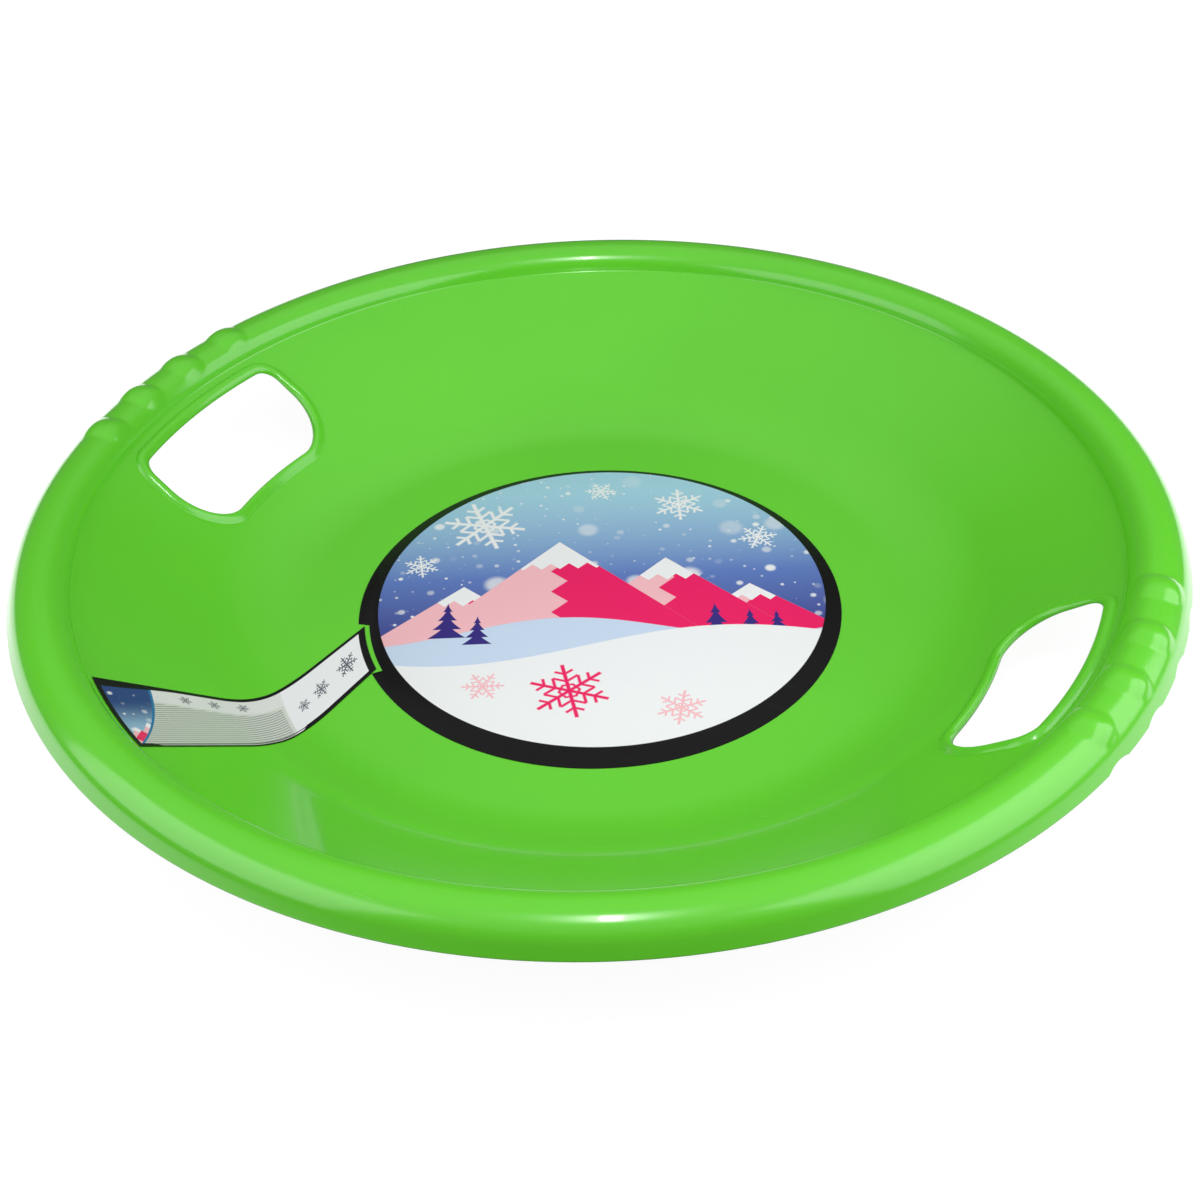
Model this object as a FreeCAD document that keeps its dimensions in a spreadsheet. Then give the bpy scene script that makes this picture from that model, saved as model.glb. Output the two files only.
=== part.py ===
import FreeCAD, Part
import math
import os
import Sketcher
from FreeCAD import Placement, Rotation, Vector

# A saucer sled: one moulded plastic dish with a rolled rim and two hand openings,
# a round decal on its floor and a long label that climbs its wall.
# The origin is the centre of the floor's underside, +Z is up and the hand openings lie on the X axis.

# Driving dimensions in millimetres and degrees: alias, value, meaning
SIZES = [
    ("sled_diameter", 600.0, "across the lower edge of the skirt"),
    ("wall", 2.5, "moulded thickness of the dish"),
    ("floor_radius", 157.0, "flat part of the floor"),
    ("floor_blend", 90.0, "radius of the sweep from floor to wall"),
    ("crest_height", 71.1, "top of the rim over the floor's underside"),
    ("crest_inset", 18.5, "top of the rim, in from the skirt's edge"),
    ("crown_radius", 13.5, "rounding of the rim"),
    ("foot_depth", 10.7, "inner foot of the rim, down from its top"),
    ("foot_blend", 3.0, "radius in the inner foot of the rim"),
    ("skirt_height", 54.5, "lower edge of the skirt over the floor's underside"),
    ("opening_length", 112.6, "hand opening, along the rim"),
    ("opening_width", 45.4, "hand opening, across the wall in plan"),
    ("opening_inset", 24.3, "hand opening's outer edge, in from the top of the rim"),
    ("opening_inner_corner", 19.5, "corner radius on the floor side"),
    ("opening_outer_corner", 9.5, "corner radius on the rim side"),
    ("lip_width", 5.0, "raised lip round each hand opening"),
    ("lip_height", 2.0, "rise of that lip"),
    ("lip_hollow", 2.5, "width of the hollow under that lip"),
    ("grip_pitch", 7.5, "angle between neighbouring finger grips"),
    ("grip_rise", 2.6, "rise of a finger grip over the rim"),
    ("grip_length", 20.0, "finger grip, along the top of the rim"),
    ("notch_length", 18.0, "dip in the skirt's edge under a finger grip"),
    ("notch_depth", 2.4, "height of that dip"),
    ("film", 0.25, "thickness of the decal and the label"),
    ("label_seat", 0.15, "adhesive between the label and the wall"),
    ("decal_margin", 28.8, "bare floor round the decal"),
    ("decal_recess", 5.7, "depth of the recess in the decal's edge"),
    ("label_gap", 2.5, "clearance between label and decal"),
    ("label_end_inset", 15.0, "label's outer end, in from the top of the rim"),
    ("label_bend", 60.0, "radius where the label turns up the wall"),
    ("label_bend_radius", 187.0, "distance of that turn from the centre"),
    ("label_azimuth", -128.0, "direction of the label's inner end"),
    ("label_left_inner", -17.5, "left edge's start, from the label's azimuth"),
    ("label_left_bend", 0.6, "left edge's turn, from the label's azimuth"),
    ("label_left_outer", 3.0, "left edge's end, from the label's azimuth"),
    ("label_right_inner", -0.6, "right edge's start, from the label's azimuth"),
    ("label_right_bend", 11.8, "right edge's turn, from the label's azimuth"),
    ("label_right_outer", 15.3, "right edge's end, from the label's azimuth"),
]
GRIPS_PER_SIDE = 4
SIDES = 2
SWEEP_SHARE = 0.8  # the sweep takes at most this share of the radius that leaves no straight wall

doc = FreeCAD.newDocument("saucer_sled")
sheet = doc.addObject("Spreadsheet::Sheet", "Sizes")
for row, (alias, value, meaning) in enumerate(SIZES, start=1):
    sheet.set(f"A{row}", meaning)
    sheet.set(f"B{row}", str(value))
    sheet.setAlias(f"B{row}", alias)
doc.recompute()


def size(alias):
    return float(sheet.get(alias))


def plane(body, role):
    return next(item for item in body.Origin.OriginFeatures if item.Role == role)


def new_body(name):
    return doc.addObject("PartDesign::Body", name)


def new_sketch(body, role, name):
    sketch = body.newObject("Sketcher::SketchObject", name)
    sketch.AttachmentSupport = [(plane(body, role), "")]
    sketch.MapMode = "FlatFace"
    return sketch


def polar(radius, degrees):
    turn = math.radians(degrees)
    return Vector(radius * math.cos(turn), radius * math.sin(turn), 0)


def line(sketch, start, end):
    return sketch.addGeometry(Part.LineSegment(start, end), False)


def arc(sketch, centre, radius, start, end):
    circle = Part.Circle(centre, Vector(0, 0, 1), radius)
    return sketch.addGeometry(Part.ArcOfCircle(circle, math.radians(start), math.radians(end)), False)


def heading(vector):
    return math.degrees(math.atan2(vector.y, vector.x))


def tie(sketch, *constraint):
    return sketch.addConstraint(Sketcher.Constraint(*constraint))


def drive(sketch, name, expression, *constraint):
    """Add a dimension and bind it to the sheet."""
    index = tie(sketch, *constraint)
    sketch.renameConstraint(index, name)
    sketch.setExpression(f"Constraints.{name}", expression)


def drive_point(sketch, name, geometry, point, across, up):
    """Bind both coordinates of one point of a sketch to expressions of the sheet."""
    place = sketch.getPoint(geometry, point)
    drive(sketch, f"{name}_across", across, "DistanceX", geometry, point, place.x)
    drive(sketch, f"{name}_up", up, "DistanceY", geometry, point, place.y)


START, END, CENTRE = range(1, 4)


def sweep_radius():
    """The sweep's radius as an expression of the sheet, limited by the wall between floor and rim."""
    drop = "(Sizes.foot_blend + Sizes.crown_radius - Sizes.foot_depth)"
    reach = f"sqrt((Sizes.foot_blend + Sizes.crown_radius)^2 - {drop}^2)"
    run = f"(Sizes.sled_diameter / 2 - Sizes.crest_inset - {reach} - Sizes.floor_radius)"
    rise = "(Sizes.crest_height - Sizes.foot_depth + Sizes.foot_blend - Sizes.wall)"
    widest = f"({run}^2 + {rise}^2 - Sizes.foot_blend^2) / (2 * ({rise} - Sizes.foot_blend))"
    return f"min(Sizes.floor_blend; {SWEEP_SHARE} * {widest})"


def draw_section(sketch):
    """Half section of the dish: floor, sweep, wall, foot, crown and skirt, each with its offset below."""
    wall = size("wall")
    foot = size("foot_blend")
    crown = size("crown_radius")
    edge = Vector(size("sled_diameter") / 2, size("skirt_height"), 0)
    crown_centre = Vector(edge.x - size("crest_inset"), size("crest_height") - crown, 0)
    foot_y = size("crest_height") - size("foot_depth") + foot
    reach = math.sqrt((foot + crown) ** 2 - (foot_y - crown_centre.y) ** 2)
    foot_centre = Vector(crown_centre.x - reach, foot_y, 0)

    run = foot_centre.x - size("floor_radius")
    rise = foot_centre.y - wall
    widest = (run ** 2 + rise ** 2 - foot ** 2) / (2 * (rise - foot))
    blend = min(size("floor_blend"), SWEEP_SHARE * widest)
    blend_centre = Vector(size("floor_radius"), wall + blend, 0)

    span = foot_centre - blend_centre
    slope = heading(span) + math.degrees(math.asin((blend - foot) / span.Length))
    to_crown = heading(crown_centre - foot_centre)
    to_edge = edge - crown_centre
    shoulder = heading(to_edge) + math.degrees(math.acos(crown / to_edge.Length))

    axis = line(sketch, Vector(0, 0, 0), Vector(0, wall, 0))
    chains = []
    for depth in (0.0, wall):
        sweep_end = blend_centre + polar(blend + depth, slope - 90)
        foot_start = foot_centre + polar(foot + depth, slope - 90)
        skirt_top = crown_centre + polar(crown - depth, shoulder)
        down = edge - (crown_centre + polar(crown, shoulder))
        skirt_end = skirt_top + down * ((edge.y - skirt_top.y) / down.y)
        chains.append({
            "floor": line(sketch, Vector(0, wall - depth, 0), Vector(blend_centre.x, wall - depth, 0)),
            "sweep": arc(sketch, blend_centre, blend + depth, -90, slope - 90),
            "cone": line(sketch, sweep_end, foot_start),
            "foot": arc(sketch, foot_centre, foot + depth, slope - 90, to_crown),
            "crown": arc(sketch, crown_centre, crown - depth, shoulder, to_crown + 180),
            "skirt": line(sketch, skirt_top, skirt_end),
            "edge": skirt_end,
        })
    top, under = chains
    lower_edge = line(sketch, top["edge"], under["edge"])

    for chain in chains:
        tie(sketch, "Tangent", chain["floor"], END, chain["sweep"], START)
        tie(sketch, "Tangent", chain["sweep"], END, chain["cone"], START)
        tie(sketch, "Tangent", chain["cone"], END, chain["foot"], START)
        tie(sketch, "Tangent", chain["foot"], END, chain["crown"], END)
        tie(sketch, "Tangent", chain["crown"], START, chain["skirt"], START)
        tie(sketch, "Horizontal", chain["floor"])
    for curve in ("sweep", "foot", "crown"):
        tie(sketch, "Coincident", top[curve], CENTRE, under[curve], CENTRE)
    tie(sketch, "Parallel", top["skirt"], under["skirt"])
    tie(sketch, "Coincident", axis, START, -1, START)
    tie(sketch, "Vertical", axis)
    tie(sketch, "Coincident", axis, END, top["floor"], START)
    tie(sketch, "Coincident", axis, START, under["floor"], START)
    tie(sketch, "Coincident", top["skirt"], END, lower_edge, START)
    tie(sketch, "Coincident", under["skirt"], END, lower_edge, END)
    tie(sketch, "Horizontal", lower_edge)

    drive(sketch, "wall", "Sizes.wall", "DistanceY", axis, START, axis, END, wall)
    drive(sketch, "floor_radius", "Sizes.floor_radius", "DistanceX", top["sweep"], CENTRE, blend_centre.x)
    drive(sketch, "floor_blend", sweep_radius(), "Radius", top["sweep"], blend)
    drive(sketch, "foot_blend", "Sizes.foot_blend", "Radius", top["foot"], foot)
    drive(sketch, "crown_radius", "Sizes.crown_radius", "Radius", top["crown"], crown)
    drive(sketch, "foot_up", "Sizes.crest_height - Sizes.foot_depth + Sizes.foot_blend",
          "DistanceY", top["foot"], CENTRE, foot_y)
    drive_point(sketch, "crown", top["crown"], CENTRE,
                "Sizes.sled_diameter / 2 - Sizes.crest_inset", "Sizes.crest_height - Sizes.crown_radius")
    drive_point(sketch, "edge", lower_edge, START, "Sizes.sled_diameter / 2", "Sizes.skirt_height")


def revolve(body, sketch):
    turn = body.newObject("PartDesign::Revolution", f"{body.Name}_turn")
    turn.Profile = sketch
    turn.ReferenceAxis = (sketch, ["V_Axis"])
    turn.Angle = 360
    body.Tip = turn
    return turn


def shell(name, lift=None):
    """The bare dish without openings, raised by an expression of the sheet where a lift is given."""
    body = new_body(name)
    sketch = new_sketch(body, "XZ_Plane", f"{name}_section")
    draw_section(sketch)
    revolve(body, sketch)
    if lift:
        body.setExpression("Placement.Base.z", lift)
    return body


def draw_opening(sketch, side, grow, label):
    """One hand opening in plan: an arc along the rim, two parallel sides and a straight inner edge."""
    extra = f" + Sizes.{grow}" if grow else ""
    wider = size(grow) if grow else 0.0
    crest = size("sled_diameter") / 2 - size("crest_inset")
    outer = crest - size("opening_inset") + wider
    inner = crest - size("opening_inset") - size("opening_width") - wider
    half = size("opening_length") / 2 + wider
    big = size("opening_inner_corner") + wider
    small = size("opening_outer_corner") + wider

    small_y = half - small
    small_x = math.sqrt((outer - small) ** 2 - small_y ** 2)
    bearing = math.degrees(math.atan2(small_y, small_x))

    def place(x, y):
        return Vector(side * x, side * y, 0)

    back = 180 if side < 0 else 0
    rim = arc(sketch, Vector(0, 0, 0), outer, back - bearing, back + bearing)
    far_corner = arc(sketch, place(small_x, small_y), small, back + bearing, back + 90)
    far_side = line(sketch, place(small_x, half), place(inner + big, half))
    far_inner = arc(sketch, place(inner + big, half - big), big, back + 90, back + 180)
    straight = line(sketch, place(inner, half - big), place(inner, big - half))
    near_inner = arc(sketch, place(inner + big, big - half), big, back + 180, back + 270)
    near_side = line(sketch, place(inner + big, -half), place(small_x, -half))
    near_corner = arc(sketch, place(small_x, -small_y), small, back + 270, back + 360 - bearing)
    loop = [rim, far_corner, far_side, far_inner, straight, near_inner, near_side, near_corner]
    for first, second in zip(loop, loop[1:] + loop[:1]):
        tie(sketch, "Tangent", first, END, second, START)
    tie(sketch, "Coincident", rim, CENTRE, -1, START)
    tie(sketch, "Symmetric", far_side, END, near_side, START, -1)
    tie(sketch, "Equal", far_corner, near_corner)
    tie(sketch, "Equal", far_inner, near_inner)
    tie(sketch, "Vertical", straight)
    edge = "Sizes.sled_diameter / 2 - Sizes.crest_inset - Sizes.opening_inset"
    drive(sketch, f"{label}_outer", f"{edge}{extra}", "Radius", rim, outer)
    drive(sketch, f"{label}_small", f"Sizes.opening_outer_corner{extra}", "Radius", far_corner, small)
    drive(sketch, f"{label}_big", f"Sizes.opening_inner_corner{extra}", "Radius", far_inner, big)
    sign = "-1" if side < 0 else "1"
    drive(sketch, f"{label}_half", f"{sign} * (Sizes.opening_length / 2{extra})",
          "DistanceY", far_side, START, side * half)
    drive(sketch, f"{label}_inner", f"{sign} * ({edge} - (Sizes.opening_width{extra}))",
          "DistanceX", straight, START, side * inner)


def opening_prism(name, grow=None):
    """Upright prisms of both hand openings, taller than the sled."""
    body = new_body(name)
    sketch = new_sketch(body, "XY_Plane", f"{name}_outline")
    for side in (1, -1):
        draw_opening(sketch, side, grow, "right" if side > 0 else "left")
    pad = body.newObject("PartDesign::Pad", f"{name}_pad")
    pad.Profile = sketch
    pad.setExpression("Length", "Sizes.crest_height")
    body.Tip = pad
    return body


def crown_band():
    """A sleeve along the rim that starts inside its wall, so a grip adds nothing to the hollow below."""
    body = new_body("crown_band")
    sketch = new_sketch(body, "XZ_Plane", "crown_band_section")
    crown = size("crown_radius")
    centre = Vector(size("sled_diameter") / 2 - size("crest_inset"), size("crest_height") - crown, 0)
    inside = crown - size("wall") / 2
    outside = crown + 2 * size("grip_rise")
    first, last = 0, 180
    inner = arc(sketch, centre, inside, first, last)
    outer = arc(sketch, centre, outside, first, last)
    for corner in (START, END):
        side = line(sketch, sketch.getPoint(inner, corner), sketch.getPoint(outer, corner))
        tie(sketch, "Coincident", side, START, inner, corner)
        tie(sketch, "Coincident", side, END, outer, corner)
        tie(sketch, "Horizontal", side)
    tie(sketch, "Coincident", inner, CENTRE, outer, CENTRE)
    tie(sketch, "PointOnObject", inner, CENTRE, sketch.GeometryCount - 1)
    drive(sketch, "inside", "Sizes.crown_radius - Sizes.wall / 2", "Radius", inner, inside)
    drive(sketch, "outside", "Sizes.crown_radius + 2 * Sizes.grip_rise", "Radius", outer, outside)
    drive_point(sketch, "crown", inner, CENTRE,
                "Sizes.sled_diameter / 2 - Sizes.crest_inset", "Sizes.crest_height - Sizes.crown_radius")
    revolve(body, sketch)
    return body


def grip_angles():
    """Directions of all finger grips: two equal rows, centred on the X axis."""
    for side in range(SIDES):
        for index in range(GRIPS_PER_SIDE):
            yield side * 360 / SIDES + (index - (GRIPS_PER_SIDE - 1) / 2) * size("grip_pitch")


def grip_swellings():
    """Long rounds with the rim's own section, lifted so that their tops stand out and their flanks fade."""
    swellings = []
    crest = size("sled_diameter") / 2 - size("crest_inset")
    level = "((Sizes.crown_radius - Sizes.grip_rise) / Sizes.crown_radius)"
    lifted = "Sizes.crest_height - Sizes.crown_radius + Sizes.grip_rise"
    for index, angle in enumerate(grip_angles(), start=1):
        swelling = doc.addObject("Part::Ellipsoid", f"grip_{index}")
        swelling.setExpression("Radius1", "Sizes.crown_radius")
        swelling.setExpression("Radius2", "Sizes.crown_radius")
        swelling.setExpression("Radius3", f"Sizes.grip_length / 2 / sqrt(1 - {level} ^ 2)")
        swelling.Placement = Placement(polar(crest, angle), Rotation(Vector(0, 0, 1), angle))
        swelling.setExpression("Placement.Base.z", lifted)
        swellings.append(swelling)
    return swellings


def notch_rods():
    """Level rods that dip into the skirt's edge under the finger grips."""
    rods = []
    radius = "(Sizes.notch_length ^ 2 / 4 + Sizes.notch_depth ^ 2) / (2 * Sizes.notch_depth)"
    crest = size("sled_diameter") / 2 - size("crest_inset")
    for index, angle in enumerate(grip_angles(), start=1):
        rod = doc.addObject("Part::Cylinder", f"notch_{index}")
        rod.setExpression("Radius", radius)
        rod.setExpression("Height", "2 * Sizes.crest_inset")
        outward = Rotation(Vector(0, 0, 1), polar(1, angle))
        rod.Placement = Placement(polar(crest, angle), outward)
        rod.setExpression("Placement.Base.z", f"Sizes.skirt_height + Sizes.notch_depth - {radius}")
        rods.append(rod)
    return rods


def combine(kind, name, shapes):
    """Part::MultiFuse or Part::MultiCommon of several objects."""
    result = doc.addObject(kind, name)
    result.Shapes = shapes
    return result


def cut(name, base, tool):
    result = doc.addObject("Part::Cut", name)
    result.Base = base
    result.Tool = tool
    return result


def make_dish():
    bare = shell("bare_dish")
    raised = shell("raised_dish", "Sizes.lip_height")
    lips = combine("Part::MultiCommon", "lips", [raised, opening_prism("lip_prism", "lip_width")])
    hollow_prism = opening_prism("hollow_prism", "lip_hollow")
    under_lips = combine("Part::MultiCommon", "under_lips", [bare, hollow_prism])
    hollows = cut("hollows", under_lips, raised)
    swellings = combine("Part::MultiFuse", "swellings", grip_swellings())
    grips = combine("Part::MultiCommon", "grips", [swellings, crown_band()])
    moulding = combine("Part::MultiFuse", "moulding", [bare, lips, grips])
    removed = combine("Part::MultiFuse", "removed", [opening_prism("hand_prism"), hollows] + notch_rods())
    return cut("dish", moulding, removed)


def make_decal():
    """Round film on the floor; its edge steps in where the label's end lies."""
    body = new_body("centre_decal")
    sketch = new_sketch(body, "XY_Plane", "decal_outline")
    sketch.setExpression("AttachmentOffset.Base.z", "Sizes.wall")
    full = size("floor_radius") - size("decal_margin")
    recess = full - size("decal_recess")
    centre = size("label_azimuth")
    clearance = math.degrees(size("label_gap") / recess)
    first = centre + size("label_left_inner") - clearance
    last = centre + size("label_right_inner") + clearance
    rim = arc(sketch, Vector(0, 0, 0), full, last, first + 360)
    step = arc(sketch, Vector(0, 0, 0), recess, first, last)
    for curve in (rim, step):
        tie(sketch, "Coincident", curve, CENTRE, -1, START)
    outside = "(Sizes.floor_radius - Sizes.decal_margin)"
    inside = f"({outside} - Sizes.decal_recess)"
    clear = f"180 / pi * Sizes.label_gap / {inside}"
    ends = [
        ("left", first, rim, END, step, START, f"(Sizes.label_azimuth + Sizes.label_left_inner - {clear})"),
        ("right", last, rim, START, step, END, f"(Sizes.label_azimuth + Sizes.label_right_inner + {clear})"),
    ]
    for name, turn, rim_curve, rim_end, step_curve, step_end, aim in ends:
        side = line(sketch, polar(full, turn), polar(recess, turn))
        tie(sketch, "Coincident", side, START, rim_curve, rim_end)
        tie(sketch, "Coincident", side, END, step_curve, step_end)
        tie(sketch, "PointOnObject", -1, START, side)
        drive(sketch, f"{name}_side", f"{outside} * cos({aim})",
              "DistanceX", side, START, polar(full, turn).x)
    drive(sketch, "outside", outside, "Radius", rim, full)
    drive(sketch, "inside", inside, "Radius", step, recess)
    pad = body.newObject("PartDesign::Pad", "decal_pad")
    pad.Profile = sketch
    pad.setExpression("Length", "Sizes.film")
    body.Tip = pad
    return body


def label_prism():
    """Upright prism of the label's outline: arcs at both ends, and sides that turn where the wall rises."""
    body = new_body("label_prism")
    sketch = new_sketch(body, "XY_Plane", "label_outline")
    near = size("floor_radius") - size("decal_margin") - size("decal_recess") + size("label_gap")
    middle = size("label_bend_radius")
    far = size("sled_diameter") / 2 - size("crest_inset") - size("label_end_inset")
    near_size = "(Sizes.floor_radius - Sizes.decal_margin - Sizes.decal_recess + Sizes.label_gap)"
    far_size = "(Sizes.sled_diameter / 2 - Sizes.crest_inset - Sizes.label_end_inset)"
    bend = size("label_bend")
    sides = {}
    for side in ("left", "right"):
        stations = ("inner", "bend", "outer")
        turns = {key: size("label_azimuth") + size(f"label_{side}_{key}") for key in stations}
        start = polar(near, turns["inner"])
        corner = polar(middle, turns["bend"])
        end = polar(far, turns["outer"])
        before = (corner - start).normalize()
        after = (end - corner).normalize()
        angle = before.getAngle(after)
        setback = bend * math.tan(angle / 2)
        clockwise = before.cross(after).z < 0
        normal = Vector(before.y, -before.x, 0) if clockwise else Vector(-before.y, before.x, 0)
        first = corner - before * setback
        second = corner + after * setback
        centre = first + normal * bend
        floor_run = line(sketch, start, first)
        wall_run = line(sketch, second, end)
        begin, finish = (second, first) if clockwise else (first, second)
        turn = arc(sketch, centre, bend, heading(begin - centre), heading(finish - centre))
        tie(sketch, "Tangent", floor_run, END, turn, END if clockwise else START)
        tie(sketch, "Tangent", wall_run, START, turn, START if clockwise else END)
        mark = sketch.addGeometry(Part.Point(corner), True)
        tie(sketch, "PointOnObject", mark, START, floor_run)
        tie(sketch, "PointOnObject", mark, START, wall_run)
        drive(sketch, f"{side}_bend", "Sizes.label_bend", "Radius", turn, bend)
        aims = {key: f"(Sizes.label_azimuth + Sizes.label_{side}_{key})" for key in turns}
        drive_point(sketch, f"{side}_start", floor_run, START,
                    f"{near_size} * cos({aims['inner']})", f"{near_size} * sin({aims['inner']})")
        drive_point(sketch, f"{side}_turn", mark, START,
                    f"Sizes.label_bend_radius * cos({aims['bend']})",
                    f"Sizes.label_bend_radius * sin({aims['bend']})")
        drive_point(sketch, f"{side}_end", wall_run, END,
                    f"{far_size} * cos({aims['outer']})", f"{far_size} * sin({aims['outer']})")
        sides[side] = (floor_run, wall_run, turns)
    left, right = sides["left"], sides["right"]
    inner = arc(sketch, Vector(0, 0, 0), near, left[2]["inner"], right[2]["inner"])
    outer = arc(sketch, Vector(0, 0, 0), far, left[2]["outer"], right[2]["outer"])
    tie(sketch, "Coincident", inner, START, left[0], START)
    tie(sketch, "Coincident", inner, END, right[0], START)
    tie(sketch, "Coincident", outer, START, left[1], END)
    tie(sketch, "Coincident", outer, END, right[1], END)
    drive(sketch, "inner_end", near_size, "Radius", inner, near)
    drive(sketch, "outer_end", far_size, "Radius", outer, far)
    pad = body.newObject("PartDesign::Pad", "label_pad")
    pad.Profile = sketch
    pad.setExpression("Length", "Sizes.crest_height")
    body.Tip = pad
    return body


def make_label():
    """The label is a thin layer over the dish's inside, one adhesive clearance above it."""
    seat = shell("seat_dish", "Sizes.label_seat")
    face = shell("face_dish", "Sizes.label_seat + Sizes.film")
    layer = combine("Part::MultiCommon", "label_layer", [face, label_prism()])
    return cut("side_label", layer, seat)


NODES = [make_dish(), make_decal(), make_label()]
doc.recompute()

failed = [item.Name for item in doc.Objects if "Invalid" in item.State or "Error" in item.State]
if failed:
    raise RuntimeError(f"features that failed: {failed}")

os.makedirs("parts", exist_ok=True)
for node in NODES:
    node.Label = node.Name
    solid = node.Shape
    if solid.isNull() or not solid.isValid() or len(solid.Solids) != 1:
        raise RuntimeError(f"{node.Label} is not one valid solid")
    print(node.Label, "volume", round(solid.Volume, 1), "box", solid.BoundBox)
for node in NODES:
    node.Shape.exportStep(f"parts/{node.Label}.step")
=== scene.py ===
import math

import bmesh
import bpy
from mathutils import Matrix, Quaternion, Vector


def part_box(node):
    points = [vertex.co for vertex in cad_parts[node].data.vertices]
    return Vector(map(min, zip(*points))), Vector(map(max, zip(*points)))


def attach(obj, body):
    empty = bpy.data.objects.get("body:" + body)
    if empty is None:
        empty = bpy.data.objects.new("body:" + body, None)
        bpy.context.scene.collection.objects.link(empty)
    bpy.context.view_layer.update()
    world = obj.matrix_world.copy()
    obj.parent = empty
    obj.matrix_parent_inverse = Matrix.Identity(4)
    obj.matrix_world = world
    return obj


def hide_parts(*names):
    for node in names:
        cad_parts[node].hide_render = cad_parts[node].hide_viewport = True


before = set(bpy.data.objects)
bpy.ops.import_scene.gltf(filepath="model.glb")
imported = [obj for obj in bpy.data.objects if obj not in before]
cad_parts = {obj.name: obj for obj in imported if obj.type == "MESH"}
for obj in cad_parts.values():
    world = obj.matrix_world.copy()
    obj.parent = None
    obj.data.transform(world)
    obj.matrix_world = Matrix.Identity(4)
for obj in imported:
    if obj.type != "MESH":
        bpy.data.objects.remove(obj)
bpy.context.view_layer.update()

# A saucer sled: a glossy green dish with a rolled rim and two lipped hand openings,
# a round printed decal on its floor and a long printed label that climbs its wall.

MM = 0.001
SEAM = 0.02 * MM
SEAM_ANGLE = 0.02

# Sizes from the frame; the skirt's edge lies a little inside the dish's box
dish_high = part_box("dish")[1]
decal_low, decal_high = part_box("centre_decal")
EDGE_INSET = 1.2 * MM
EDGE_RADIUS = dish_high[0] - EDGE_INSET
DECAL_RADIUS = decal_high[0]
WALL = decal_low[2]
FILM = decal_high[2] - decal_low[2]

# The dish's half section; the rim's bead is a little tighter on its inner side than outside
FLOOR_RADIUS = 157 * MM
SWEEP = 90 * MM
CREST_RADIUS = 281.2 * MM
CREST_HEIGHT = 70.4 * MM
CREST_WIDTH = 1.7 * MM
INNER_BEND = 12.6 * MM
OUTER_BEND = 16.1 * MM
FOOT_DEPTH = 12.5 * MM
FOOT = 2 * MM
SKIRT_HEIGHT = 54.3 * MM
EDGE_ROUND = 0.9 * MM
TOP_STEPS = {"floor": 7, "sweep": 18, "cone": 24, "foot": 5, "inner": 24, "outer": 14, "skirt": 5}
UNDER_STEPS = {"floor": 7, "sweep": 18, "cone": 24, "foot": 4, "inner": 10, "outer": 8, "skirt": 3}

# Finger grips on the rim
GRIP_PITCH = 7.5
GRIP_ROW = (-1.5, -0.5, 0.5, 1.5)
GRIP_SECTOR = 2.5 * GRIP_PITCH
GRIP_SECTOR_STEPS = 130
PLAIN_SECTOR_STEPS = 96
GRIP_LIFT = Vector((0.4, 2.1)) * MM
GRIP_REACH = 9.4 * MM
GRIP_RADII = (275 * MM, 287 * MM)
NOTCH_RISE = 2.0 * MM
NOTCH_REACH = 9.0 * MM

# Hand openings: the hole in plan and the block of wall that is remade round it
OPENING_OUTER = 257.2 * MM
OPENING_INNER = 213 * MM
OPENING_HALF = 56.3 * MM
INNER_CORNER = 23 * MM
OUTER_CORNER = 9.5 * MM
BLOCK_RADII = (199 * MM, 265.8 * MM)
BLOCK_HALF = 17.4
BLOCK_RINGS = 4

# The lip's section: distance from the hole, then height over the wall on the inner side and on the rim side
LIP_TOP = ((7.2, 0, 0), (6.9, -0.1, -0.02), (6.6, -0.2, 0.05), (6.3, 0.05, 0.35), (5.9, 0.6, 0.85),
           (5.3, 1.3, 1.5), (4.6, 1.8, 2.15), (3.9, 2.1, 2.7), (3.2, 2.15, 3.1), (2.5, 1.85, 3.3),
           (1.9, 1.35, 3.3), (1.4, 0.7, 3.15), (0.9, -0.1, 2.9), (0.5, -0.95, 2.5), (0.2, -1.6, 2.0),
           (0.05, -2.1, 1.5), (0, -2.7, 0.9))
LIP_UNDER = ((7.2, -3.04, -3.04), (6.2, -2.9, -2.8), (5.1, -2.1, -1.9), (4.0, -1.1, -0.9), (2.5, -1.4, -0.1),
             (1.5, -2.3, 0.1), (0.9, -3.0, 0.2), (0.4, -3.5, 0.3), (0.1, -3.3, 0.55), (0, -2.7, 0.9))

# The side label in plan: each edge's start, turn and end, in degrees from the label's direction
LABEL_SEAT = 0.15 * MM
LABEL_DIRECTION = -128.0
LABEL_EDGES = {"left": (-17.5, 0.6, 2.4), "right": (-0.6, 11.8, 15.3)}
LABEL_BEND = 60 * MM
LABEL_TURN_RADIUS = 187 * MM
LABEL_END_RADIUS = 265 * MM
DECAL_RECESS = 5.7 * MM
LABEL_GAP = 2.5 * MM
DECAL_STEPS = 320
RECESS_STEPS = 24
LABEL_START_RADIUS = DECAL_RADIUS - DECAL_RECESS + LABEL_GAP
LABEL_GRID = (26, 120)
PRINT_SPAN = 200 * MM

# The photograph's camera
CAMERA_PLACE = Vector((0.4133, -0.7270, 0.6521))
CAMERA_TARGET = Vector((0.0, 0.0, 0.0025))
CAMERA_ROLL = -2.17
CAMERA_LENS = 59.6
CAMERA_SENSOR = 36
CAMERA_SHIFT = (0.0003, 0.0046)
VIEW_AZIMUTH = 29.6


def polar(radius, degrees):
    turn = math.radians(degrees)
    return Vector((radius * math.cos(turn), radius * math.sin(turn)))


def heading(vector):
    """Angle of a vector in plan, in degrees."""
    return math.degrees(math.atan2(vector.y, vector.x))


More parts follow.
